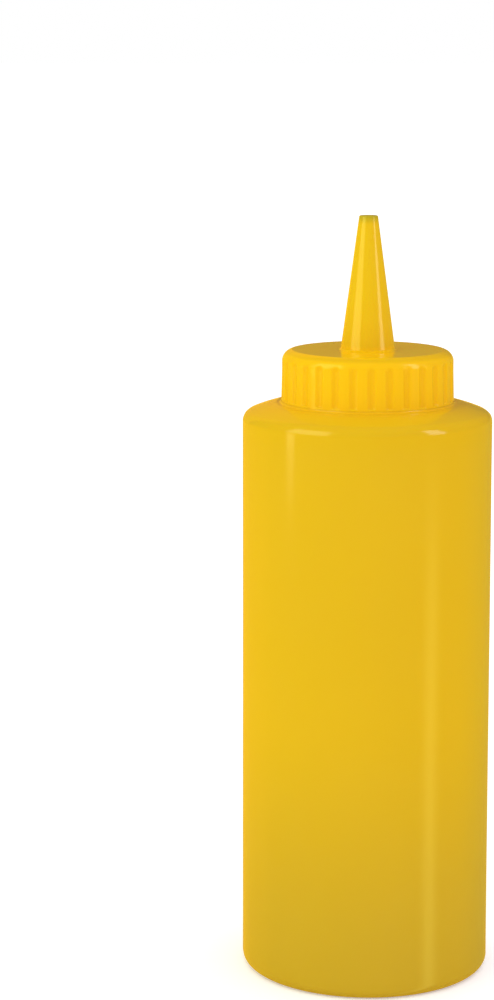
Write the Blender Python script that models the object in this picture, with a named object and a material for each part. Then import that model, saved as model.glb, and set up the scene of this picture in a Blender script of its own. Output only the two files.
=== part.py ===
"""Squeeze bottle: a straight round body with a low domed shoulder, and a grooved screw cap with a cone spout.

Units are metres, +Z is up, and the origin is the centre of the foot, where the bottle stands.
The body and the cap are the two mouldings of the real thing, and each is one closed solid.
"""

from math import cos, pi, radians, sin

import bmesh
import bpy

MM = 0.001
CLEARANCE = 0.3 * MM

# The body: a straight wall between a rounded foot and a low domed shoulder with a flat seat under the cap.
BODY_RADIUS = 31.75 * MM
SHOULDER_HEIGHT = 146.75 * MM
FOOT_ROUNDING = 2.5 * MM
BODY_SIDES = 80

# The shoulder from the wall in to the seat: each arc's radius, the slopes that it runs between, and its steps.
SHOULDER_ARCS = (
    (2.8 * MM, 90.0, 22.5, 4),
    (41.0 * MM, 22.5, 16.3, 2),
    (13.2 * MM, 16.3, 0.0, 3),
)

# The underside: a flat standing ring round a shallow push-up.
STANDING_RING_INNER = 25.5 * MM
PUSH_UP_RADIUS = 22.0 * MM
PUSH_UP_HEIGHT = 1.6 * MM
PUSH_UP_CROWN = 2.4 * MM

# The neck that the cap screws over.
NECK_RADIUS = 19.0 * MM
NECK_ROOT_ROUNDING = 1.0 * MM
NECK_HEIGHT = 9.2 * MM
NECK_LIP_CHAMFER = 0.6 * MM

# The cap: a grooved skirt, a hair above the shoulder's seat and a little wider below, with a rounded top edge.
CAP_GAP = CLEARANCE
CAP_TOP_HEIGHT = 160.3 * MM
CAP_RADIUS_BELOW = 21.93 * MM
CAP_RADIUS_ABOVE = 21.77 * MM
CAP_BORE_RADIUS = NECK_RADIUS + CLEARANCE
CAP_TOP_ROUNDING = 2.9 * MM
SKIRT_LIP_CHAMFER = 0.25 * MM

# The grip: broad ribs between narrow grooves, which run out under the rounded top edge.
RIB_COUNT = 30
GROOVE_DEPTH = 0.45 * MM
RIB_FOOT = 0.5 * MM
GROOVE_END = 0.6 * MM
GROOVE_DEG_BELOW = 3.0
GROOVE_DEG_ABOVE = 4.0
FLANK_DEG = 0.8

# The spout: a slender cone with a small hole in its flat tip.
SPOUT_ROOT_RADIUS = 6.91 * MM
SPOUT_TIP_RADIUS = 2.42 * MM
SPOUT_TIP_HEIGHT = 194.25 * MM
SPOUT_ROOT_ROUNDING = 0.6 * MM
SPOUT_TIP_ROUNDING = 0.4 * MM
SPOUT_SIDES = 60
HOLE_RADIUS = 1.1 * MM
HOLE_DEPTH = 6.0 * MM

ROUNDING_STEPS = 4
SMALL_ROUNDING_STEPS = 3
SMOOTH_ANGLE_DEG = 35
MERGE_DISTANCE = 0.001 * MM

# The two plastics: the body's is satin, the cap's is glossy.
BODY_YELLOW = (0.80, 0.47, 0.016, 1.0)
BODY_ROUGHNESS = 0.38
CAP_YELLOW = (0.86, 0.50, 0.010, 1.0)
CAP_ROUGHNESS = 0.22


def arc(centre, radius, start_deg, end_deg, steps):
    """Points (r, z) of a circular arc in the half plane, from one angle to the other."""
    turn = (end_deg - start_deg) / steps
    angles = [radians(start_deg + turn * i) for i in range(steps + 1)]
    return [(centre[0] + radius * cos(a), centre[1] + radius * sin(a)) for a in angles]


def finish(name, bm, color, roughness):
    """Turn a closed bmesh into a smooth-shaded object with its own plastic."""
    bmesh.ops.remove_doubles(bm, verts=bm.verts, dist=MERGE_DISTANCE)
    bmesh.ops.recalc_face_normals(bm, faces=bm.faces)
    mesh = bpy.data.meshes.new(name)
    bm.to_mesh(mesh)
    bm.free()
    mesh.shade_smooth()
    mesh.set_sharp_from_angle(angle=radians(SMOOTH_ANGLE_DEG))

    plastic = bpy.data.materials.new(name + "_plastic")
    plastic.use_nodes = True
    shader = plastic.node_tree.nodes["Principled BSDF"]
    shader.inputs["Base Color"].default_value = color
    shader.inputs["Roughness"].default_value = roughness
    shader.inputs["Metallic"].default_value = 0.0
    mesh.materials.append(plastic)

    piece = bpy.data.objects.new(name, mesh)
    bpy.context.collection.objects.link(piece)
    return piece


def shoulder():
    """The shoulder's half section, from the wall's top up and in to the seat, each arc tangent to the next."""
    r = BODY_RADIUS
    z = SHOULDER_HEIGHT - sum(
        radius * (cos(radians(last)) - cos(radians(first))) for radius, first, last, steps in SHOULDER_ARCS
    )
    points = [(r, z)]
    for radius, first, last, steps in SHOULDER_ARCS:
        for i in range(steps):
            before = radians(first + (last - first) * i / steps)
            after = radians(first + (last - first) * (i + 1) / steps)
            r -= radius * (sin(before) - sin(after))
            z += radius * (cos(after) - cos(before))
            points.append((r, z))
    return points


def body_profile():
    """The body's half section, from the middle of the underside out, up and in to the neck's lip."""
    # The push-up's crown is a parabola, so half-way out it has dropped by a quarter.
    half_way = PUSH_UP_CROWN - (PUSH_UP_CROWN - PUSH_UP_HEIGHT) / 4
    underside = [
        (0.0, PUSH_UP_CROWN),
        (PUSH_UP_RADIUS / 2, half_way),
        (PUSH_UP_RADIUS, PUSH_UP_HEIGHT),
        (STANDING_RING_INNER, 0.0),
    ]
    foot_centre = (BODY_RADIUS - FOOT_ROUNDING, FOOT_ROUNDING)
    foot = arc(foot_centre, FOOT_ROUNDING, -90, 0, ROUNDING_STEPS)

    root_centre = (NECK_RADIUS + NECK_ROOT_ROUNDING, SHOULDER_HEIGHT + NECK_ROOT_ROUNDING)
    neck_root = arc(root_centre, NECK_ROOT_ROUNDING, -90, -180, SMALL_ROUNDING_STEPS)

    neck_top = SHOULDER_HEIGHT + NECK_HEIGHT
    lip = [
        (NECK_RADIUS, neck_top - NECK_LIP_CHAMFER),
        (NECK_RADIUS - NECK_LIP_CHAMFER, neck_top),
        (0.0, neck_top),
    ]
    return underside + foot + shoulder() + neck_root + lip


def make_body():
    """Spin the body's half section once round the axis."""
    bm = bmesh.new()
    corners = [bm.verts.new((r, 0.0, z)) for r, z in body_profile()]
    edges = [bm.edges.new(pair) for pair in zip(corners, corners[1:])]
    bmesh.ops.spin(
        bm,
        geom=corners + edges,
        cent=(0.0, 0.0, 0.0),
        axis=(0.0, 0.0, 1.0),
        angle=2 * pi,
        steps=BODY_SIDES,
        use_merge=True,
    )
    return finish("bottle_body", bm, BODY_YELLOW, BODY_ROUGHNESS)


def ribbed_ring(bm, groove_radius, crest_radius, z, groove_deg):
    """One ring round the skirt: each groove has two corners on its floor, each rib two on its crest."""
    pitch = radians(360 / RIB_COUNT)
    half_groove = radians(groove_deg / 2)
    flank = radians(FLANK_DEG)
    crest = pitch / 2 - half_groove - flank
    floor = pitch / 2 - half_groove
    on_rib = [(-crest, crest_radius), (crest, crest_radius)]
    in_groove = [(floor, groove_radius), (pitch - floor, groove_radius)]
    ring = []
    for rib in range(RIB_COUNT):
        for offset, radius in on_rib + in_groove:
            angle = rib * pitch + offset
            ring.append(bm.verts.new((radius * cos(angle), radius * sin(angle), z)))
    return ring


def round_ring(bm, radius, z, sides):
    """One plain ring of the spout."""
    angles = [2 * pi * i / sides for i in range(sides)]
    return [bm.verts.new((radius * cos(a), radius * sin(a), z)) for a in angles]


def ring_edges(bm, ring):
    """The closed loop of edges through a ring's corners."""
    return [bm.edges.get(pair) or bm.edges.new(pair) for pair in zip(ring, ring[1:] + ring[:1])]


def skin(bm, rings):
    """Join each ring to the next with a band of four-sided faces."""
    for lower, upper in zip(rings, rings[1:]):
        count = len(lower)
        for i in range(count):
            j = (i + 1) % count
            bm.faces.new((lower[i], lower[j], upper[j], upper[i]))


def rib_radius(z):
    """The skirt's radius over its ribs, which shrinks evenly from the lip to the rounded top edge."""
    lip_z = SHOULDER_HEIGHT + CAP_GAP
    share = (z - lip_z) / (CAP_TOP_HEIGHT - CAP_TOP_ROUNDING - lip_z)
    return CAP_RADIUS_BELOW + share * (CAP_RADIUS_ABOVE - CAP_RADIUS_BELOW)


def skirt_rings(bm):
    """The grooved skirt's rings, from the bore's ceiling down, round the lip and up to the flat top."""
    lip_z = SHOULDER_HEIGHT + CAP_GAP
    ceiling_z = SHOULDER_HEIGHT + NECK_HEIGHT + CLEARANCE
    round_z = CAP_TOP_HEIGHT - CAP_TOP_ROUNDING
    chamfer = SKIRT_LIP_CHAMFER
    lip_radius = rib_radius(lip_z) - GROOVE_DEPTH
    plain = [
        (CAP_BORE_RADIUS, ceiling_z, GROOVE_DEG_BELOW),
        (CAP_BORE_RADIUS, lip_z + chamfer, GROOVE_DEG_BELOW),
        (CAP_BORE_RADIUS + chamfer, lip_z, GROOVE_DEG_BELOW),
        (lip_radius - chamfer, lip_z, GROOVE_DEG_BELOW),
        (lip_radius, lip_z + chamfer, GROOVE_DEG_BELOW),
    ]
    rings = [ribbed_ring(bm, radius, radius, z, groove) for radius, z, groove in plain]
    for z, groove in ((lip_z + RIB_FOOT, GROOVE_DEG_BELOW), (round_z - GROOVE_END, GROOVE_DEG_ABOVE)):
        rings.append(ribbed_ring(bm, rib_radius(z) - GROOVE_DEPTH, rib_radius(z), z, groove))
    edge_centre = (CAP_RADIUS_ABOVE - CAP_TOP_ROUNDING, round_z)
    for radius, z in arc(edge_centre, CAP_TOP_ROUNDING, 0, 90, ROUNDING_STEPS):
        rings.append(ribbed_ring(bm, radius, radius, z, GROOVE_DEG_ABOVE))
    return rings


def spout_rings(bm):
    """The spout's rings, from the flat top up the cone, over the tip and down the hole."""
    rise = SPOUT_TIP_HEIGHT - CAP_TOP_HEIGHT
    slope = (SPOUT_ROOT_RADIUS - SPOUT_TIP_RADIUS) / rise
    root = SPOUT_ROOT_ROUNDING
    tip_centre = (SPOUT_TIP_RADIUS - SPOUT_TIP_ROUNDING, SPOUT_TIP_HEIGHT - SPOUT_TIP_ROUNDING)
    root_centre = (SPOUT_ROOT_RADIUS - slope * root + root, CAP_TOP_HEIGHT + root)
    profile = arc(root_centre, root, -90, -180, SMALL_ROUNDING_STEPS)
    profile += arc(tip_centre, SPOUT_TIP_ROUNDING, 0, 90, SMALL_ROUNDING_STEPS)
    profile += [(HOLE_RADIUS, SPOUT_TIP_HEIGHT), (HOLE_RADIUS, SPOUT_TIP_HEIGHT - HOLE_DEPTH)]
    return [round_ring(bm, radius, z, SPOUT_SIDES) for radius, z in profile]


def make_cap():
    """Skirt, flat top and spout as one moulding, open below for the neck and at the tip for the hole."""
    bm = bmesh.new()
    skirt = skirt_rings(bm)
    spout = spout_rings(bm)
    skin(bm, skirt)
    skin(bm, spout)
    bm.faces.new(skirt[0])
    bm.faces.new(spout[-1])
    bmesh.ops.bridge_loops(bm, edges=ring_edges(bm, skirt[-1]) + ring_edges(bm, spout[0]))
    return finish("screw_cap", bm, CAP_YELLOW, CAP_ROUGHNESS)


def main():
    """Clear the scene and make the two mouldings."""
    for old in list(bpy.data.objects):
        bpy.data.objects.remove(old, do_unlink=True)
    make_body()
    make_cap()


main()
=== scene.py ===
"""Squeeze bottle: its fine surfaces and plastics, with the studio floor, lights and camera.

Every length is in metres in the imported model's own frame: +Z is up, the origin is the middle of the foot,
and the bottle's front faces -Y. Two mouldings are made as closed numpy surfaces over the solids that they
stand for: the blow-moulded body, and the screw cap that is one piece with its spout.
"""

import logging
from dataclasses import dataclass, field
from enum import Enum
from math import cos, pi, radians, sin

import bpy
import numpy as np
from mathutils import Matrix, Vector


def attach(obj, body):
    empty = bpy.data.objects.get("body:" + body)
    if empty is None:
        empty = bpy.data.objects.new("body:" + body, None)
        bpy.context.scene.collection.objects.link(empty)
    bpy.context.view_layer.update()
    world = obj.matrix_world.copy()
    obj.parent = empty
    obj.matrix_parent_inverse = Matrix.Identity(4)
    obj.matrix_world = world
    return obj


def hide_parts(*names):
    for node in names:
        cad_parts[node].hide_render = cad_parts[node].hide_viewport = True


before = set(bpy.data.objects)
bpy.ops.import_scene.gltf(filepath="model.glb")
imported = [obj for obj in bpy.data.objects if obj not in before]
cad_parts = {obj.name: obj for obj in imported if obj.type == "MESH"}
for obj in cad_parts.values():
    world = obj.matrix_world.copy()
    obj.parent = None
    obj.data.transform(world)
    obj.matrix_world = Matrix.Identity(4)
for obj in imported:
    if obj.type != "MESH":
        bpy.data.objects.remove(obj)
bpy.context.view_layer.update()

MM = 0.001
TURN = 2 * pi
ROOT_BODY = "root"
# Per-point colour factors. Most are painted light and shade: brighter round the cap, darker in the grooves and
# on the cap's rounded top edge. The spout's tip is also darker and greener.
TINT = "tint"
WHITE = (1.0, 1.0, 1.0)
MIX_FIRST, MIX_SECOND, MIX_RESULT = 6, 7, 2  # the Mix node's sockets for colours
WATTS_PER_RADIANCE = 4.0  # an area light's power for each square metre, where it shows as 1

Spot = tuple[float, float]  # r and z, in a half section
Span = tuple[float, float]
Colour = tuple[float, float, float]  # red, green and blue
Socket = bpy.types.NodeSocket

log = logging.getLogger("squeeze_bottle")


# ---------------------------------------------------------------- curves of the half section


def ease(values: np.ndarray) -> np.ndarray:
    """Soft step: clip to 0..1, then 3 t^2 - 2 t^3."""
    t = np.clip(values, 0.0, 1.0)
    return t * t * (3.0 - 2.0 * t)


def arc(centre: Spot, radius: float, start_deg: float, end_deg: float, steps: int) -> np.ndarray:
    """Circular rounding in the half plane: centre + radius (cos a, sin a), with a evenly between two angles.

    Args:
        centre: The rounding's centre (r, z).
        radius: Its radius.
        start_deg: The first point's angle, from +r towards +z.
        end_deg: The last point's angle.
        steps: How many spans to cut it into.

    Returns:
        Points (r, z), one a row.
    """
    angles = np.radians(np.linspace(start_deg, end_deg, steps + 1))
    return np.column_stack([centre[0] + radius * np.cos(angles), centre[1] + radius * np.sin(angles)])


def straight(start: Spot, end: Spot, steps: int, margin: float) -> np.ndarray:
    """Straight run between two roundings: even points, and one more close to each end to hold the shading.

    Args:
        start: Where the run begins (r, z); the point itself is left to the rounding before it.
        end: Where it stops; left to the rounding after it.
        steps: How many even spans lie between the two close points.
        margin: How far the close points stand from the ends.

    Returns:
        Points (r, z), one a row, without the two ends.
    """
    first, last = np.array(start, float), np.array(end, float)
    inset = margin / np.linalg.norm(last - first)
    shares = np.linspace(inset, 1.0 - inset, steps + 1)
    return first + shares[:, None] * (last - first)


# ---------------------------------------------------------------- closed surfaces


@dataclass
class Surface:
    """One closed surface, gathered ring by ring.

    Rings run anticlockwise seen from above. A band whose second ring lies further along the half section,
    which runs from the underside outwards and up, then faces away from the plastic.
    """

    points: list[np.ndarray] = field(default_factory=list)
    quads: list[np.ndarray] = field(default_factory=list)
    triangles: list[np.ndarray] = field(default_factory=list)
    count: int = 0

    def grid(self, positions: np.ndarray) -> np.ndarray:
        """Add a grid that wraps round in its second direction.

        Args:
            positions: Array of rings, columns and x, y, z.

        Returns:
            The points' numbers, a row for each ring.
        """
        rows, columns = positions.shape[:2]
        numbers = self.count + np.arange(rows * columns).reshape(rows, columns)
        self.points.append(positions.reshape(-1, 3))
        self.count += rows * columns
        following = np.roll(numbers, -1, axis=1)
        band = np.stack([numbers[:-1], following[:-1], following[1:], numbers[1:]], axis=-1)
        self.quads.append(band.reshape(-1, 4))
        return numbers

    def pole(self, ring: np.ndarray, place: tuple[float, float, float], first: bool) -> None:
        """Close a ring with a fan to one point on the axis.

        Args:
            ring: The ring's point numbers.
            place: The pole's x, y, z.
            first: True where the pole comes before the ring along the half section.
        """
        tip = np.full_like(ring, self.count)
        self.points.append(np.array([place], float))
        self.count += 1
        following = np.roll(ring, -1)
        fan = (tip, following, ring) if first else (tip, ring, following)
        self.triangles.append(np.column_stack(fan))

    def step_down(self, wide: np.ndarray, narrow: np.ndarray) -> None:
        """Join a ring to the next one, which has a third as many points.

        Each narrow point takes the two spans round its own wide point as a fan, and the third span is a quad.

        Args:
            wide: Point numbers of the finer ring.
            narrow: Point numbers of the coarser ring, one for every third wide point.
        """
        own = wide[::3]
        after, before = wide[1::3], np.roll(wide, 1)[::3]
        self.triangles.append(np.column_stack([before, own, narrow]))
        self.triangles.append(np.column_stack([own, after, narrow]))
        self.quads.append(np.column_stack([after, wide[2::3], np.roll(narrow, -1), narrow]))

    def build(self, name: str, tints: list[tuple[np.ndarray, np.ndarray]]) -> bpy.types.Object:
        """Make the mesh object, at the origin and shaded smooth.

        Args:
            name: The piece's name.
            tints: Point numbers, each with their colour's factors; the other points keep the plain colour.

        Returns:
            The new object, linked to the scene.
        """
        points = np.concatenate(self.points)
        quads = np.concatenate(self.quads)
        triangles = np.concatenate(self.triangles)
        corners = np.concatenate([quads.ravel(), triangles.ravel()])
        starts = np.concatenate([4 * np.arange(len(quads)), quads.size + 3 * np.arange(len(triangles))])
        mesh = bpy.data.meshes.new(name)
        mesh.vertices.add(len(points))
        mesh.vertices.foreach_set("co", points.astype(np.float32).ravel())
        mesh.loops.add(len(corners))
        mesh.loops.foreach_set("vertex_index", corners.astype(np.int32))
        mesh.polygons.add(len(starts))
        mesh.polygons.foreach_set("loop_start", starts.astype(np.int32))
        mesh.update(calc_edges=True)
        mesh.shade_smooth()
        factors = np.ones((len(points), 3), np.float32)
        for numbers, factor in tints:
            factors[numbers] = factor
        mesh.attributes.new(TINT, "FLOAT_VECTOR", "POINT").data.foreach_set("vector", factors.ravel())
        piece = bpy.data.objects.new(name, mesh)
        bpy.context.scene.collection.objects.link(piece)
        return piece


def turned(profile: np.ndarray, angles: np.ndarray, swell: np.ndarray | float = 0.0) -> np.ndarray:
    """Carry a half section round the axis: x = (r + swell) cos a, y = (r + swell) sin a, z unchanged.

    Args:
        profile: Points (r, z), one a ring.
        angles: The columns' angles: one row for all rings, or a row for each.
        swell: How far each grid point stands out beyond its ring's radius.

    Returns:
        Grid of rings, columns and x, y, z.
    """
    radius = profile[:, :1] + swell
    shape = np.broadcast_shapes(radius.shape, (len(profile), np.shape(angles)[-1]))
    height = np.broadcast_to(profile[:, 1:], shape)
    return np.stack([radius * np.cos(angles), radius * np.sin(angles), height], axis=-1)


def tinted(share: np.ndarray, tint: Colour) -> np.ndarray:
    """Factors for a colour's red, green and blue: 1 where the share is 0, the tint where it is 1."""
    return 1.0 + share[..., None] * (np.array(tint) - 1.0)


# ---------------------------------------------------------------- plastics


@dataclass(frozen=True)
class Nodes:
    """A node tree, with the steps that the plastics, the floor and the surroundings share."""

    tree: bpy.types.NodeTree

    def add(self, kind: str) -> bpy.types.Node:
        """A new node of one kind."""
        return self.tree.nodes.new(kind)

    def feed(self, socket: Socket, value: Socket | Colour | float) -> None:
        """Give a socket its value: a link, a plain colour or a plain number.

        Args:
            socket: The input that takes it.
            value: Another node's output, a colour's red, green and blue, or a number.
        """
        if isinstance(value, bpy.types.NodeSocket):
            self.tree.links.new(value, socket)
        else:
            socket.default_value = (*value, 1.0) if isinstance(value, tuple) else value

    def parts(self, vector: Socket) -> bpy.types.Node:
        """Split a vector.

        Args:
            vector: The vector.

        Returns:
            A node whose outputs X, Y and Z are its parts.
        """
        split = self.add("ShaderNodeSeparateXYZ")
        self.feed(split.inputs[0], vector)
        return split

    def ramp(self, value: Socket, span: Span, result: Span = (0.0, 1.0)) -> Socket:
        """Map a span of a value onto another span, softly at both ends: t = 3 s^2 - 2 s^3.

        Args:
            value: The value, held within the span.
            span: Where the ramp starts and ends.
            result: What it gives there.

        Returns:
            The mapped value.
        """
        ramp = self.add("ShaderNodeMapRange")
        ramp.interpolation_type = "SMOOTHSTEP"
        ramp.inputs["From Min"].default_value, ramp.inputs["From Max"].default_value = span
        ramp.inputs["To Min"].default_value, ramp.inputs["To Max"].default_value = result
        self.feed(ramp.inputs["Value"], value)
        return ramp.outputs["Result"]

    def mix(self, share: Socket, first: Socket | Colour, second: Socket | Colour) -> Socket:
        """Mix two colours: first (1 - share) + second share.

        Args:
            share: The second colour's share, 0..1.
            first: The colour where the share is 0.
            second: The colour where it is 1.

        Returns:
            The mixed colour.
        """
        mix = self.add("ShaderNodeMix")
        mix.data_type = "RGBA"
        self.feed(mix.inputs["Factor"], share)
        self.feed(mix.inputs[MIX_FIRST], first)
        self.feed(mix.inputs[MIX_SECOND], second)
        return mix.outputs[MIX_RESULT]

    def math(self, operation: str, first: Socket, second: Socket | float = 0.0) -> Socket:
        """Work out one value from two.

        Args:
            operation: The Math node's name for it.
            first: The first value.
            second: The second value; an operation on one value leaves it out.

        Returns:
            The result.
        """
        node = self.add("ShaderNodeMath")
        node.operation = operation
        self.feed(node.inputs[0], first)
        self.feed(node.inputs[1], second)
        return node.outputs[0]


@dataclass(frozen=True)
class Mottle:
    """An uneven pattern: a noise whose middle span is mapped softly onto a span of factors."""

    per_metre: float
    detail: float
    span: Span
    factors: Span


class Mould(Enum):
    """How a plastic was moulded, which sets its skin: (grain per metre, grain depth in metres)."""

    BLOWN = (900.0, 0.000012)
    INJECTED = (420.0, 0.000006)


@dataclass(frozen=True)
class Plastic:
    """An opaque polyethylene: a pigment with soft light in it under a skin of varying gloss, and painted light
    and shade in its colour.
    """

    name: str
    slot: str
    pigment: Colour
    lower_tone_and_painted_light: Colour
    deep_below: float
    deep_above: float
    roughness: float
    smooth_above: float
    smooth_roughness: float
    mould: Mould
    ior: float
    glint_tint: Colour
    scatter: float
    scatter_depth: float
    scatter_reach: Colour = (1.0, 0.6, 0.08)
    smooth_fade: float = 1.5 * MM
    grain_detail: float = 3.0
    clouds: Mottle = Mottle(per_metre=28.0, detail=3.0, span=(0.3, 0.7), factors=(0.985, 1.0))
    marks: Mottle = Mottle(per_metre=75.0, detail=4.0, span=(0.35, 0.75), factors=(0.94, 1.12))

    def make(self) -> bpy.types.Material:
        """Build the node material.

        Returns:
            The material, reading Object coordinates and the surface's own tint.
        """
        material = bpy.data.materials.new(self.name)
        material.use_nodes = True
        nodes = Nodes(material.node_tree)
        inputs = material.node_tree.nodes["Principled BSDF"].inputs
        inputs["IOR"].default_value = self.ior
        inputs["Specular Tint"].default_value = (*self.glint_tint, 1.0)
        inputs["Subsurface Weight"].default_value = self.scatter
        inputs["Subsurface Radius"].default_value = self.scatter_reach
        inputs["Subsurface Scale"].default_value = self.scatter_depth
        place = nodes.add("ShaderNodeTexCoord").outputs["Object"]
        height = nodes.parts(place).outputs["Z"]
        nodes.feed(inputs["Base Color"], self._colour(nodes, place, height))
        nodes.feed(inputs["Roughness"], self._roughness(nodes, place, height))
        nodes.feed(inputs["Normal"], self._skin(nodes, place))
        return material

    def _noise(self, nodes: Nodes, place: Socket, per_metre: float, detail: float) -> Socket:
        """A noise of about 0..1.

        Args:
            nodes: The material's nodes.
            place: Object coordinates.
            per_metre: How many features lie along a metre.
            detail: How many finer octaves it adds.

        Returns:
            The noise.
        """
        noise = nodes.add("ShaderNodeTexNoise")
        noise.inputs["Scale"].default_value = per_metre
        noise.inputs["Detail"].default_value = detail
        nodes.feed(noise.inputs["Vector"], place)
        return noise.outputs["Fac"]

    def _mottled(self, nodes: Nodes, place: Socket, mottle: Mottle) -> Socket:
        """An uneven pattern's factor at each point."""
        noise = self._noise(nodes, place, mottle.per_metre, mottle.detail)
        return nodes.ramp(noise, mottle.span, mottle.factors)

    def _colour(self, nodes: Nodes, place: Socket, height: Socket) -> Socket:
        """Pigment with painted light and shade: deeper below a span of height, times the surface's tint, and a
        little uneven all over.

        Args:
            nodes: The material's nodes.
            place: Object coordinates.
            height: Their Z.

        Returns:
            The base colour.
        """
        # The lower colour paints shade towards the body's foot, and makes the cap's skirt deeper and brighter.
        deep = nodes.ramp(height, (self.deep_below, self.deep_above))
        tint = nodes.add("ShaderNodeAttribute")
        tint.attribute_name = TINT
        toned = nodes.add("ShaderNodeVectorMath")
        toned.operation = "MULTIPLY"
        nodes.feed(toned.inputs[0], nodes.mix(deep, self.lower_tone_and_painted_light, self.pigment))
        nodes.feed(toned.inputs[1], tint.outputs["Vector"])
        clouded = nodes.add("ShaderNodeVectorMath")
        clouded.operation = "SCALE"
        nodes.feed(clouded.inputs[0], toned.outputs["Vector"])
        nodes.feed(clouded.inputs["Scale"], self._mottled(nodes, place, self.clouds))
        return clouded.outputs["Vector"]

    def _roughness(self, nodes: Nodes, place: Socket, height: Socket) -> Socket:
        """Roughness: smoother above a height, times a faint uneven pattern.

        Args:
            nodes: The material's nodes.
            place: Object coordinates.
            height: Their Z.

        Returns:
            The roughness.
        """
        span = (self.smooth_above - self.smooth_fade, self.smooth_above + self.smooth_fade)
        base = nodes.ramp(height, span, (self.roughness, self.smooth_roughness))
        return nodes.math("MULTIPLY", base, self._mottled(nodes, place, self.marks))

    def _skin(self, nodes: Nodes, place: Socket) -> Socket:
        """Bump of the mould's own grain.

        Args:
            nodes: The material's nodes.
            place: Object coordinates.

        Returns:
            The normal.
        """
        grain, depth = self.mould.value
        bump = nodes.add("ShaderNodeBump")
        bump.inputs["Strength"].default_value = 1.0
        bump.inputs["Distance"].default_value = depth
        nodes.feed(bump.inputs["Height"], self._noise(nodes, place, grain, self.grain_detail))
        return bump.outputs["Normal"]


BODY_PLASTIC = Plastic(
    name="soft_yellow_body",
    slot="body_plastic",
    pigment=(0.780, 0.474, 0.010),
    # Painted shade: the body's colour darkens towards the foot, up to 75 mm.
    lower_tone_and_painted_light=(0.610, 0.390, 0.023),
    deep_below=0.0,
    deep_above=75 * MM,
    roughness=0.13,
    smooth_above=139.0 * MM,
    smooth_roughness=0.10,
    mould=Mould.BLOWN,
    ior=1.51,
    glint_tint=(1.0, 1.0, 0.95),
    scatter=0.12,
    scatter_depth=3 * MM,
)

CAP_PLASTIC = Plastic(
    name="glossy_yellow_cap",
    slot="cap_plastic",
    pigment=(0.860, 0.530, 0.009),
    # The skirt's deeper, brighter colour is partly the thick plastic's own tone and partly painted light.
    lower_tone_and_painted_light=(0.980, 0.560, 0.004),
    deep_below=160.4 * MM,
    deep_above=162.0 * MM,
    roughness=0.16,
    smooth_above=159.5 * MM,
    smooth_roughness=0.13,
    mould=Mould.INJECTED,
    ior=1.53,
    glint_tint=(1.0, 0.95, 0.65),
    scatter=0.12,
    scatter_depth=1.5 * MM,
)


# ---------------------------------------------------------------- the body


@dataclass(frozen=True)
class Bend:
    """One tangent arc of the shoulder: its radius, the slope where it starts and ends, and its spans."""

    radius: float
    start_deg: float
    end_deg: float
    spans: int


@dataclass(frozen=True)
class Ripple:
    """A slow wave in the blown wall: share cos(lobes a + phase + 2 pi z / climb)."""

    share: float
    lobes: int
    phase: float
    climb: float

    def at(self, angles: np.ndarray, z: np.ndarray) -> np.ndarray:
        """Its swing at angles and heights."""
        return self.share * np.cos(self.lobes * angles + self.phase + TURN * z / self.climb)


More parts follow.
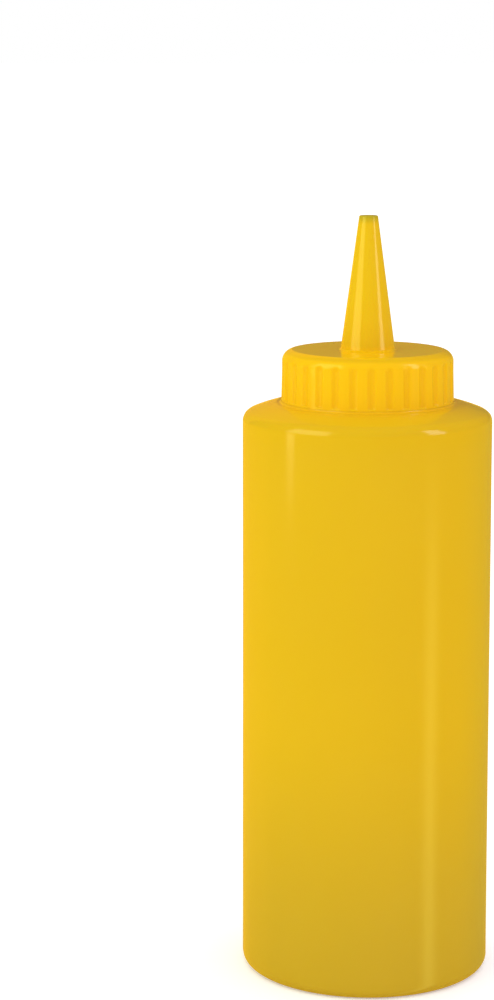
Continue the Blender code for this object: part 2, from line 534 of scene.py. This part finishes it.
@dataclass
class BottleBody:
    """The blow-moulded body: push-up underside, rounded foot, straight wall, low domed shoulder and neck.

    Spans and rings say how finely a stretch is cut, and a margin is how close to an edge a ring stands to
    hold the shading.
    """

    radius: float = 31.75 * MM
    shoulder_height: float = 146.75 * MM
    bends: tuple[Bend, ...] = (
        Bend(2.8 * MM, 90.0, 22.5, 16),
        Bend(41.0 * MM, 22.5, 16.3, 8),
        Bend(13.2 * MM, 16.3, 0.0, 10),
    )
    foot_rounding: float = 2.5 * MM
    foot_spans: int = 14
    ring_inner: float = 25.5 * MM
    ring_spans: int = 3
    push_up_radius: float = 22.0 * MM
    push_up_height: float = 1.6 * MM
    push_up_crown: float = 2.4 * MM
    push_up_shares: Span = (0.04, 1.0)
    push_up_rings: int = 14
    slope_spans: int = 4
    collar_radius: float = 22.0 * MM
    collar_height: float = 0.5 * MM
    fillet_spans: int = 8
    land_height: float = 0.22 * MM
    land_gap: float = 0.02 * MM
    land_spans: int = 3
    # Painted light: the body is tinted warmer and brighter round the cap, lifting the shade at its lip.
    warm_edge: float = 23.6 * MM
    warm_reach: float = 30.0 * MM
    warm_depth: float = 10.0 * MM
    warm_shares: tuple[float, float] = (0.7, 0.3)
    painted_glow_tint: Colour = (1.26, 1.14, 1.0)
    neck_radius: float = 19.0 * MM
    neck_root: float = 1.0 * MM
    neck_height: float = 9.2 * MM
    neck_chamfer: float = 0.6 * MM
    neck_spans: int = 6
    columns: int = 288
    wall_spans: int = 96
    wall_margin: float = 0.4 * MM
    margin: float = 0.2 * MM
    seam_height: float = 0.05 * MM
    seam_width: float = 0.22 * MM
    seam_reach: float = 2.0 * MM
    seam_fade: float = 1.0 * MM
    wave_height: float = 0.022 * MM
    wave_start: float = 12.0 * MM
    wave_stop: float = 5.0 * MM
    wave_fade: float = 10.0 * MM
    wave_margin: float = 0.01 * MM
    broad_wave: Ripple = Ripple(share=0.6, lobes=3, phase=1.3, climb=110 * MM)
    narrow_wave: Ripple = Ripple(share=0.4, lobes=7, phase=-0.6, climb=-63 * MM)
    beat: Ripple = Ripple(share=1.0, lobes=0, phase=0.9, climb=41 * MM)
    pinch_height: float = 0.25 * MM
    pinch_width: float = 0.5 * MM
    pinch_reach: float = 19.0 * MM
    pinch_fade: float = 3.0 * MM
    pinch_levels: Span = (0.4 * MM, 3.4 * MM)
    name: str = "bottle_body_shell"
    plastic: Plastic = BODY_PLASTIC

    def underside(self) -> np.ndarray:
        """Half section of the push-up, the standing ring and the rounded foot.

        The push-up is a parabola: height = crown - (crown - edge height) (r / push-up radius)^2.

        Returns:
            Points (r, z), one a row, from near the middle out to the wall.
        """
        spread = np.linspace(*self.push_up_shares, self.push_up_rings) * self.push_up_radius
        sag = (self.push_up_crown - self.push_up_height) * (spread / self.push_up_radius) ** 2
        dome = np.column_stack([spread, self.push_up_crown - sag])
        dome_edge, ring_start = (self.push_up_radius, self.push_up_height), (self.ring_inner, 0.0)
        slope = straight(dome_edge, ring_start, self.slope_spans, self.margin)
        foot_start = self.radius - self.foot_rounding
        ring = straight(ring_start, (foot_start, 0.0), self.ring_spans, self.margin)
        foot = arc((foot_start, self.foot_rounding), self.foot_rounding, -90, 0, self.foot_spans)
        return np.concatenate([dome, slope, ring, foot])

    def shoulder(self) -> np.ndarray:
        """Half section of the shoulder, from the wall's top to the seat under the cap.

        It is a chain of tangent arcs. Along an arc of radius R the slope falls from a to b, the section moves
        in by R (sin a - sin b) and rises by R (cos b - cos a).

        Returns:
            Points (r, z), one a row, the first on the wall.
        """
        radii = np.concatenate([np.full(bend.spans, bend.radius) for bend in self.bends])
        falls = [np.linspace(bend.start_deg, bend.end_deg, bend.spans + 1)[:-1] for bend in self.bends]
        slopes = np.radians(np.concatenate([*falls, [0.0]]))
        inward = np.concatenate([[0.0], np.cumsum(radii * -np.diff(np.sin(slopes)))])
        rise = np.concatenate([[0.0], np.cumsum(radii * np.diff(np.cos(slopes)))])
        return np.column_stack([self.radius - inward, self.shoulder_height - rise[-1] + rise])

    def neck(self) -> np.ndarray:
        """Half section of the collar round the cap's lip, the land inside it, and the neck.

        Returns:
            Points (r, z), one a row, from the shoulder in and up to near the neck's middle.
        """
        collar_centre = (self.collar_radius + self.collar_height, self.shoulder_height + self.collar_height)
        collar = arc(collar_centre, self.collar_height, -90, -180, self.fillet_spans)
        level = self.shoulder_height + self.land_height
        land = (self.collar_radius - self.land_gap, level)
        root_centre = (self.neck_radius + self.neck_root, level + self.neck_root)
        seat = straight(land, (root_centre[0], level), self.land_spans, self.margin)
        root = arc(root_centre, self.neck_root, -90, -180, self.fillet_spans)
        top = self.shoulder_height + self.neck_height
        shaft_top = (self.neck_radius, top - self.neck_chamfer)
        shaft = straight((self.neck_radius, root_centre[1]), shaft_top, self.neck_spans, self.margin)
        lip = self.neck_radius - self.neck_chamfer
        return np.concatenate([collar, [land], seat, root, shaft, [shaft_top, (lip, top), (lip / 2, top)]])

    def profile(self) -> np.ndarray:
        """Half section from near the middle of the underside, out, up and in to near the neck's middle.

        Returns:
            Points (r, z), one a ring.
        """
        shoulder = self.shoulder()
        wall_start = (self.radius, self.foot_rounding)
        wall = straight(wall_start, tuple(shoulder[0]), self.wall_spans, self.wall_margin)
        outside = shoulder[:, 0] > self.collar_radius + self.collar_height + self.margin
        return np.concatenate([self.underside(), wall, shoulder[outside], self.neck()])

    def seam(self, profile: np.ndarray, angles: np.ndarray) -> np.ndarray:
        """Mould seam up the outer wall at +X and -X: height (exp(-(distance / width)^2) - 1).

        Args:
            profile: The body's half section.
            angles: The columns' angles.

        Returns:
            How far each grid point is moved outwards; the seam's crest is left in place.
        """
        distance = profile[:, :1] * np.abs(np.sin(angles))
        outer = ease((profile[:, :1] - self.radius + self.seam_reach) / self.seam_fade)
        return self.seam_height * outer * (np.exp(-((distance / self.seam_width) ** 2)) - 1.0)

    def waves(self, profile: np.ndarray, angles: np.ndarray) -> np.ndarray:
        """Slight unevenness of a blown wall: height (broad wave + narrow wave times beat - 1).

        Args:
            profile: The body's half section.
            angles: The columns' angles.

        Returns:
            How far each grid point is moved outwards, fading to 0 at foot and shoulder.
        """
        z = profile[:, 1:]
        on_wall = profile[:, :1] > self.radius - self.wave_margin
        above, below = z / self.wave_start, (self.shoulder_height - self.wave_stop - z) / self.wave_fade
        swing = self.broad_wave.at(angles, z) + self.narrow_wave.at(angles, z) * self.beat.at(angles, z)
        return self.wave_height * ease(above) * ease(below) * on_wall * (swing - 1.0)

    def pinch(self, positions: np.ndarray) -> np.ndarray:
        """Pinch-off line under the push-up, where the blown tube was cut: height exp(-(y / width)^2).

        Args:
            positions: The body's grid.

        Returns:
            How far each grid point is moved down, fading to 0 at the bar's two ends.
        """
        x, y, z = positions[..., 0], positions[..., 1], positions[..., 2]
        across = np.exp(-((y / self.pinch_width) ** 2))
        along = ease((self.pinch_reach - np.abs(x)) / self.pinch_fade)
        lowest, highest = self.pinch_levels
        under = (z > lowest) & (z < highest) & (np.hypot(x, y) < self.ring_inner)
        return self.pinch_height * across * along * under

    def painted_glow(self, profile: np.ndarray) -> np.ndarray:
        """Painted light round the cap, not wear: how far the body is tinted warmer and brighter, lifting the
        shade at the cap's lip and brightening the shoulder.

        Args:
            profile: The body's half section.

        Returns:
            The share for each ring: 1 at the collar, falling fast and then slowly along the shoulder.
        """
        r, z = profile[:, :1], profile[:, 1:]
        near = ease((self.warm_edge - r) / (self.warm_edge - self.collar_radius))
        wide = ease((self.warm_reach - r) / (self.warm_reach - self.collar_radius))
        near_share, wide_share = self.warm_shares
        return (z > self.shoulder_height - self.warm_depth) * (near_share * near + wide_share * wide)

    def build(self) -> bpy.types.Object:
        """Make the body's closed surface.

        Returns:
            The body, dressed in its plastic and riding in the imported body's place.
        """
        profile = self.profile()
        angles = np.linspace(0.0, TURN, self.columns, endpoint=False)[None, :]
        positions = turned(profile, angles, self.seam(profile, angles) + self.waves(profile, angles))
        positions[..., 2] -= self.pinch(positions)
        surface = Surface()
        rings = surface.grid(positions)
        surface.pole(rings[0], (0.0, 0.0, self.push_up_crown - self.pinch_height), first=True)
        surface.pole(rings[-1], (0.0, 0.0, self.shoulder_height + self.neck_height), first=False)
        # The tint paints light on the body round the cap.
        piece = surface.build(self.name, [(rings, tinted(self.painted_glow(profile), self.painted_glow_tint))])
        piece.data.materials.append(self.plastic.make())
        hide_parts("bottle_body")
        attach(piece, ROOT_BODY)
        return piece


# ---------------------------------------------------------------- the cap and spout


@dataclass
class ScrewCap:
    """The injection-moulded cap: a bore for the neck, a grooved skirt, a flat top and a cone spout.

    Spans and margins are as in the body. The shares place the columns across half a crest, a flank and half
    a groove's floor.
    """

    lip_height: float = 147.05 * MM
    bore_radius: float = 19.3 * MM
    bore_ceiling: float = 156.25 * MM
    bore_spans: int = 4
    bore_wall: float = 1.0 * MM
    radius_below: float = 21.93 * MM
    radius_above: float = 21.77 * MM
    top_height: float = 160.3 * MM
    top_rounding: float = 2.9 * MM
    top_spans: int = 26
    lip_rounding: float = 0.12 * MM
    lip_spans: tuple[int, int] = (4, 5)
    lip_ring: float = 0.3 * MM
    lip_ring_spans: int = 11
    rib_count: int = 30
    rib_crown: float = 0.05 * MM
    groove_depth: float = 0.38 * MM
    groove_foot: float = 0.5 * MM
    groove_end: float = 1.7 * MM
    groove_run_out: float = 1.1 * MM
    groove_end_rise: float = 0.3 * MM
    groove_deg_below: float = 1.4
    groove_deg_above: float = 2.2
    flank_deg: float = 2.4
    middle_spans: int = 9
    middle_margin: float = 0.1 * MM
    finish_height: float = 2.2 * MM
    finish_spans: int = 16
    finish_margin: float = 0.03 * MM
    crest_shares: tuple[float, ...] = (0.0, 0.35, 0.68, 0.9)
    flank_shares: tuple[float, ...] = (0.0, 0.22, 0.5, 0.78, 1.0)
    floor_shares: tuple[float, ...] = (0.5, 1.0)
    # Painted shade: the groove floors are darker, and so is the rounded top edge, to offset the light from
    # above.
    groove_shade: Colour = (0.98, 0.945, 1.0)
    dark_reach: float = 1.5 * MM
    dark_fade: float = 1.0 * MM
    dark_tint: Colour = (0.84, 0.86, 1.0)
    flat_fade: float = 2.2 * MM
    flat_spared: float = 0.7
    spout_root: float = 6.91 * MM
    spout_tip: float = 2.42 * MM
    tip_height: float = 194.25 * MM
    root_rounding: float = 0.6 * MM
    tip_rounding: float = 0.4 * MM
    spout_rounding_spans: int = 8
    spout_spans: int = 44
    hole_radius: float = 1.1 * MM
    hole_depth: float = 6.0 * MM
    hole_rounding: float = 0.15 * MM
    hole_spans: int = 5
    mouth_reach: float = 2.4 * MM
    mouth_tint: Colour = (0.60, 0.74, 2.0)
    margin: float = 0.12 * MM
    name: str = "cap_with_spout"
    plastic: Plastic = CAP_PLASTIC

    @property
    def edge_height(self) -> float:
        """Height where the rounded top edge starts."""
        return self.top_height - self.top_rounding

    @property
    def flat_radius(self) -> float:
        """Radius of the flat top, inside its rounded edge."""
        return self.radius_above - self.top_rounding

    def bore_profile(self) -> np.ndarray:
        """Half section of the bore: from its ceiling down its wall to the lip's inner rounding.

        Returns:
            Points (r, z), one a row, ending on the lip.
        """
        ceiling, corner = self.bore_ceiling, (self.bore_radius, self.bore_ceiling - self.margin)
        top = [(self.bore_radius / 2, ceiling), (self.bore_radius - self.margin, ceiling), corner]
        foot = self.lip_height + self.lip_rounding
        wall = straight(corner, (self.bore_radius, foot), self.bore_spans, self.margin)
        lip_centre = (self.bore_radius + self.lip_rounding, foot)
        return np.concatenate([top, wall, arc(lip_centre, self.lip_rounding, 180, 270, self.lip_spans[0])])

    def skirt_profile(self) -> np.ndarray:
        """Half section of the skirt over its ribs: from the bore's ceiling down, round the lip and up.

        Returns:
            Points (r, z), one a ring, ending on the flat top.
        """
        foot = self.lip_height + self.lip_rounding
        lip_centre = (self.radius_below - self.lip_rounding, foot)
        lip = arc(lip_centre, self.lip_rounding, -90, 0, self.lip_spans[1])
        groove_start = foot + self.lip_ring + self.groove_foot
        rise = np.linspace(foot, groove_start, self.lip_ring_spans + 1)[1:]
        ring = np.column_stack([np.full(len(rise), self.radius_below), rise])
        finish_start = (self.radius_above, self.edge_height - self.finish_height)
        middle_start = (self.radius_below, groove_start)
        middle = straight(middle_start, finish_start, self.middle_spans, self.middle_margin)
        edge = arc((self.flat_radius, self.edge_height), self.top_rounding, 0, 90, self.top_spans)
        edge_start = (self.radius_above, self.edge_height)
        finish = straight(finish_start, edge_start, self.finish_spans, self.finish_margin)
        flat = [(self.flat_radius - self.margin, self.top_height)]
        return np.concatenate([self.bore_profile(), lip, ring, middle, finish, edge, flat])

    def columns(self, profile: np.ndarray) -> tuple[np.ndarray, np.ndarray, np.ndarray]:
        """Angles of the skirt's columns, which follow the grooves' edges.

        A pitch runs from rib middle to rib middle: half a crest, a flank down, the groove's floor, a flank up
        and half a crest. The groove widens evenly from its width below to its width above.

        Args:
            profile: The skirt's half section.

        Returns:
            Angles, a row for each ring; then for each column how deep it lies, as a share of the groove's
            depth, and how far it is from the groove's middle, as a share of half the groove with its flanks.
        """
        pitch = 360.0 / self.rib_count
        rise = np.clip((profile[:, 1] - self.lip_height) / (self.edge_height - self.lip_height), 0, 1)
        groove = self.groove_deg_below + (self.groove_deg_above - self.groove_deg_below) * rise
        half_floor = (groove / 2)[:, None]
        crest = pitch / 2 - half_floor - self.flank_deg
        shares = (self.crest_shares, self.flank_shares, self.floor_shares)
        on_crest, on_flank, on_floor = (np.array(row) for row in shares)
        foot = crest + self.flank_deg
        places = [crest * on_crest, crest + self.flank_deg * on_flank, foot + half_floor * on_floor]
        half = np.concatenate(places, axis=1)
        depth = np.concatenate([np.zeros(len(on_crest)), ease(on_flank), np.ones(len(on_floor))])
        off_middle = np.clip((pitch / 2 - half[-1]) / (pitch / 2 - crest[-1]), 0.0, 1.0)
        offsets = np.concatenate([half, pitch - half[:, -2:0:-1]], axis=1)
        starts = pitch * np.arange(self.rib_count)
        degrees = (starts[None, :, None] + offsets[:, None, :]).reshape(len(profile), -1)
        depths, middles = (np.concatenate([row, row[-2:0:-1]]) for row in (depth, off_middle))
        return np.radians(degrees), np.tile(depths, self.rib_count), np.tile(middles, self.rib_count)

    def gripped(self, profile: np.ndarray, middles: np.ndarray) -> np.ndarray:
        """Where the skirt is ribbed.

        A groove starts above a plain ring along the lip and runs out on the rounded top edge, where its end
        is rounded: it reaches highest in its middle.

        Args:
            profile: The skirt's half section.
            middles: How far each column is from its groove's middle, as a share.

        Returns:
            A share for each grid point, rising softly from 0 on the plain parts to 1.
        """
        z = profile[:, 1:]
        outer = profile[:, :1] > self.bore_radius + self.bore_wall
        foot = ease((z - self.lip_height - self.lip_rounding - self.lip_ring) / self.groove_foot)
        stop = self.edge_height + self.groove_run_out - self.groove_end_rise * middles**2
        return outer * foot * ease((stop - z) / self.groove_end)

    def crown(self, angles: np.ndarray) -> np.ndarray:
        """Slight roundness of the ribs: a drop by the square of the distance from the rib's middle.

        Args:
            angles: The columns' angles.

        Returns:
            The drop for each grid point.
        """
        pitch = TURN / self.rib_count
        middle = (angles + pitch / 2) % pitch - pitch / 2
        return self.rib_crown * (2 * middle / pitch) ** 2

    def darkened(self, profile: np.ndarray) -> np.ndarray:
        """How far the top is tinted darker, which offsets the strong light from above.

        It is full on the rounded edge and less on the flat inside it.

        Args:
            profile: The skirt's half section.

        Returns:
            A share for each ring.
        """
        r, z = profile[:, :1], profile[:, 1:]
        edge = ease((z - self.top_height + self.dark_reach) / self.dark_fade)
        flat = ease((self.flat_radius + self.flat_fade - r) / self.flat_fade)
        return edge * (1.0 - self.flat_spared * flat)

    def spout_profile(self) -> np.ndarray:
        """Half section of the spout: root rounding, straight cone, tip rounding, hole rim and hole.

        Returns:
            Points (r, z), one a ring, ending on the hole's floor.
        """
        root, tip = self.root_rounding, self.tip_rounding
        slope = (self.spout_root - self.spout_tip) / (self.tip_height - self.top_height)
        root_centre = (self.spout_root - slope * root + root, self.top_height + root)
        flat = [(root_centre[0] + self.margin, self.top_height)]
        fillet = arc(root_centre, root, -90, -180, self.spout_rounding_spans)
        crest = arc((self.spout_tip - tip, self.tip_height - tip), tip, 0, 90, self.spout_rounding_spans)
        cone = straight(tuple(fillet[-1]), tuple(crest[0]), self.spout_spans, self.margin)
        rim_centre = (self.hole_radius + self.hole_rounding, self.tip_height - self.hole_rounding)
        rim = arc(rim_centre, self.hole_rounding, 90, 180, self.hole_spans)
        floor = self.tip_height - self.hole_depth
        hole = straight(tuple(rim[-1]), (self.hole_radius, floor), self.hole_spans, self.margin)
        last = [(self.hole_radius, floor), (self.hole_radius / 2, floor)]
        return np.concatenate([flat, fillet, cone, crest, rim, hole, last])

    def build(self) -> bpy.types.Object:
        """Make the cap and spout as one closed surface.

        Returns:
            The cap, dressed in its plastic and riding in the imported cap's place.
        """
        skirt = self.skirt_profile()
        angles, depths, middles = self.columns(skirt)
        gripped = self.gripped(skirt, middles)
        sunk = gripped * (self.groove_depth * depths + self.crown(angles))
        surface = Surface()
        skirt_rings = surface.grid(turned(skirt, angles, -sunk))
        surface.pole(skirt_rings[0], (0.0, 0.0, self.bore_ceiling), first=True)
        spout = self.spout_profile()
        around = np.linspace(0.0, TURN, angles.shape[1] // 3, endpoint=False)[None, :]
        spout_rings = surface.grid(turned(spout, around))
        surface.step_down(skirt_rings[-1], spout_rings[0])
        surface.pole(spout_rings[-1], (0.0, 0.0, self.tip_height - self.hole_depth), first=False)
        # Painted shade: darker groove floors and a darker rounded top edge.
        shades = tinted(gripped * depths, self.groove_shade) * tinted(self.darkened(skirt), self.dark_tint)
        mouth = ease((spout[:, 1:] - self.tip_height + self.mouth_reach) / self.mouth_reach)
        tints = [(skirt_rings, shades), (spout_rings, tinted(mouth, self.mouth_tint))]
        piece = surface.build(self.name, tints)
        piece.data.materials.append(self.plastic.make())
        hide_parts("screw_cap")
        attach(piece, ROOT_BODY)
        return piece


# ---------------------------------------------------------------- the studio


class Role(Enum):
    """What a light is for: (whether it lights matt colour, whether gloss mirrors it)."""

    KEY = (True, True)
    GLINT = (False, True)


@dataclass(frozen=True)
class Softbox:
    """An upright rectangular light, placed round the bottle and turned to face its axis.

    Azimuth is measured from the front (-Y) towards +X. Radiance is what a reflection of it would show.
    """

    name: str
    azimuth_deg: float
    distance: float
    low: float
    high: float
    width: float
    radiance: float
    colour: Colour
    role: Role

    def place(self) -> bpy.types.Object:
        """Make the light.

        Returns:
            The light object, hidden from the camera itself.
        """
        lamp = bpy.data.lights.new(self.name, "AREA")
        lamp.shape = "RECTANGLE"
        lamp.size = self.width
        lamp.size_y = self.high - self.low
        lamp.color = self.colour
        lamp.energy = WATTS_PER_RADIANCE * lamp.size * lamp.size_y * self.radiance
        light = bpy.data.objects.new(self.name, lamp)
        angle = radians(self.azimuth_deg)
        middle = (self.low + self.high) / 2
        light.location = (self.distance * sin(angle), -self.distance * cos(angle), middle)
        inward = Vector((-light.location.x, -light.location.y, 0.0))
        light.rotation_euler = inward.to_track_quat("-Z", "Y").to_euler()
        light.visible_camera = False
        light.visible_diffuse, light.visible_glossy = self.role.value
        bpy.context.scene.collection.objects.link(light)
        return light


@dataclass(frozen=True)
class Floor:
    """A wide flat pale floor with a glow that only the camera sees, and that gloss doesn't mirror."""

    half: float = 30.0
    level: float = -0.05 * MM
    shade: Colour = (0.92, 0.92, 0.92)
    roughness: float = 0.9
    glow: float = 0.28
    glow_colour: Colour = (1.0, 1.03, 1.2)

    def paint(self) -> bpy.types.Material:
        """Build the floor's matt finish; its glow lights nothing, and lifts the shadow towards white.

        Returns:
            The material.
        """
        material = bpy.data.materials.new("pale_floor")
        material.use_nodes = True
        nodes = Nodes(material.node_tree)
        inputs = material.node_tree.nodes["Principled BSDF"].inputs
        inputs["Base Color"].default_value = (*self.shade, 1.0)
        inputs["Roughness"].default_value = self.roughness
        inputs["Specular IOR Level"].default_value = 0.0
        inputs["Emission Color"].default_value = (*self.glow_colour, 1.0)
        seen = nodes.add("ShaderNodeLightPath").outputs["Is Camera Ray"]
        nodes.feed(inputs["Emission Strength"], nodes.math("MULTIPLY", seen, self.glow))
        return material

    def build(self) -> bpy.types.Object:
        """Lay the floor.

        Returns:
            The floor, hidden from gloss.
        """
        half, level = self.half, self.level
        corners = [(-half, -half, level), (half, -half, level), (half, half, level), (-half, half, level)]
        mesh = bpy.data.meshes.new("floor")
        mesh.from_pydata(corners, [], [(0, 1, 2, 3)])
        mesh.materials.append(self.paint())
        floor = bpy.data.objects.new("floor", mesh)
        floor.visible_glossy = False
        bpy.context.scene.collection.objects.link(floor)
        return floor


@dataclass(frozen=True)
class Surroundings:
    """Near-white light from all round, warmer on the left; gloss mirrors a dim room and a warm table."""

    sides: Span = (-1.0, 1.0)
    left: Colour = (1.10, 0.98, 0.46)
    right: Colour = (0.96, 0.97, 1.00)
    overhead_span: Span = (0.2, 1.0)
    overhead: Colour = (1.10, 1.08, 1.15)
    horizon: Span = (-0.02, 0.06)
    mirrored_above: Colour = (0.19, 0.155, 0.07)
    mirrored_below: Colour = (0.90, 0.52, 0.04)
    behind_span: Span = (1.0, 1.4)
    mirrored_behind: Colour = (0.50, 0.38, 0.08)
    band_azimuth_deg: float = 60.0
    band_half_width_deg: float = 12.0
    band_start: Span = (-0.16, -0.22)
    band: Colour = (2.5, 2.1, 0.4)

    def build(self) -> bpy.types.World:
        """Set the world's colours by direction.

        Returns:
            The world, plain white where the camera itself sees it.
        """
        world = bpy.data.worlds.new("studio")
        world.use_nodes = True
        world.node_tree.nodes.clear()
        nodes = Nodes(world.node_tree)
        direction = nodes.parts(nodes.add("ShaderNodeTexCoord").outputs["Generated"]).outputs
        across, up = direction["X"], direction["Z"]
        lit = nodes.mix(nodes.ramp(across, self.sides), self.left, self.right)
        lit = nodes.mix(nodes.ramp(up, self.overhead_span), lit, self.overhead)
        behind = nodes.ramp(nodes.math("ADD", across, direction["Y"]), self.behind_span)
        table = nodes.mix(behind, self.mirrored_below, self.mirrored_behind)
        table = nodes.mix(self._on_band(nodes, across, direction["Y"], up), table, self.band)
        mirrored = nodes.mix(nodes.ramp(up, self.horizon), table, self.mirrored_above)
        path = nodes.add("ShaderNodeLightPath").outputs
        lit = nodes.mix(path["Is Glossy Ray"], lit, mirrored)
        shade = nodes.add("ShaderNodeBackground")
        nodes.feed(shade.inputs["Color"], nodes.mix(path["Is Camera Ray"], lit, WHITE))
        nodes.feed(nodes.add("ShaderNodeOutputWorld").inputs["Surface"], shade.outputs[0])
        bpy.context.scene.world = world
        return world

    def _on_band(self, nodes: Nodes, x: Socket, y: Socket, z: Socket) -> Socket:
        """How much a direction meets the bright band on the table, which runs outwards along one azimuth.

        Args:
            nodes: The world's nodes.
            x: The direction's x.
            y: Its y.
            z: Its z.

        Returns:
            1 on the band's middle line, falling to 0 beside it and where it starts.
        """
        azimuth = nodes.math("ARCTAN2", x, nodes.math("MULTIPLY", y, -1.0))
        aside = nodes.math("ABSOLUTE", nodes.math("SUBTRACT", azimuth, radians(self.band_azimuth_deg)))
        near = nodes.ramp(aside, (radians(self.band_half_width_deg), 0.0))
        return nodes.math("MULTIPLY", near, nodes.ramp(z, self.band_start))


@dataclass(frozen=True)
class Studio:
    """Pale floor, near-white surroundings, one green-tinted soft light, and lights that only gloss mirrors."""

    floor: Floor = Floor()
    surroundings: Surroundings = Surroundings()
    lights: tuple[Softbox, ...] = (
        Softbox("left_key", -57, 0.80, 0.16, 0.83, 0.60, 0.75, (0.45, 1.0, 0.3), Role.KEY),
        Softbox("left_glint", -60, 0.80, 0.16, 0.83, 0.62, 1.5, (1.0, 0.75, 0.42), Role.GLINT),
        Softbox("left_corner", -76, 0.80, 0.005, 0.08, 0.12, 2.0, (1.0, 0.85, 0.35), Role.GLINT),
        Softbox("right_strip", 63.5, 0.80, 0.16, 0.83, 0.26, 2.2, (1.0, 1.0, 0.95), Role.GLINT),
        Softbox("warm_table", -135, 0.80, -0.60, 0.05, 1.00, 0.17, (1.0, 0.5, 0.02), Role.GLINT),
        Softbox("warm_back", -158, 0.80, 0.15, 1.00, 0.58, 0.5, (1.0, 0.45, 0.0), Role.GLINT),
    )

    def build(self) -> None:
        """Set the floor, surroundings and lights, and show colours plainly."""
        self.floor.build()
        self.surroundings.build()
        for softbox in self.lights:
            softbox.place()
        bpy.context.scene.view_settings.view_transform = "Standard"
        bpy.context.scene.view_settings.look = "None"


@dataclass(frozen=True)
class Viewpoint:
    """The camera: in front, a little to the left of the bottle and above it, looking slightly down."""

    place: tuple[float, float, float] = (-30.66 * MM, -662.63 * MM, 237.19 * MM)
    tilt_down_deg: float = 7.728
    lens: float = 94.607
    sensor: float = 36.0
    shift_y: float = -0.100

    def build(self) -> bpy.types.Object:
        """Make the camera and look through it.

        Returns:
            The camera object.
        """
        optics = bpy.data.cameras.new("camera")
        optics.lens = self.lens
        optics.sensor_width = self.sensor
        optics.shift_y = self.shift_y
        camera = bpy.data.objects.new("camera", optics)
        camera.location = self.place
        camera.rotation_euler = (radians(90.0 - self.tilt_down_deg), 0.0, 0.0)
        bpy.context.scene.collection.objects.link(camera)
        bpy.context.scene.camera = camera
        return camera


def main() -> None:
    """Build the studio and the two mouldings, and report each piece."""
    logging.basicConfig(level=logging.INFO, format="%(name)s: %(message)s")
    Viewpoint().build()
    Studio().build()
    for maker in (BottleBody(), ScrewCap()):
        piece = maker.build()
        mesh = piece.data
        log.info("%s has %d points and %d faces", piece.name, len(mesh.vertices), len(mesh.polygons))


if __name__ == "__main__":
    main()
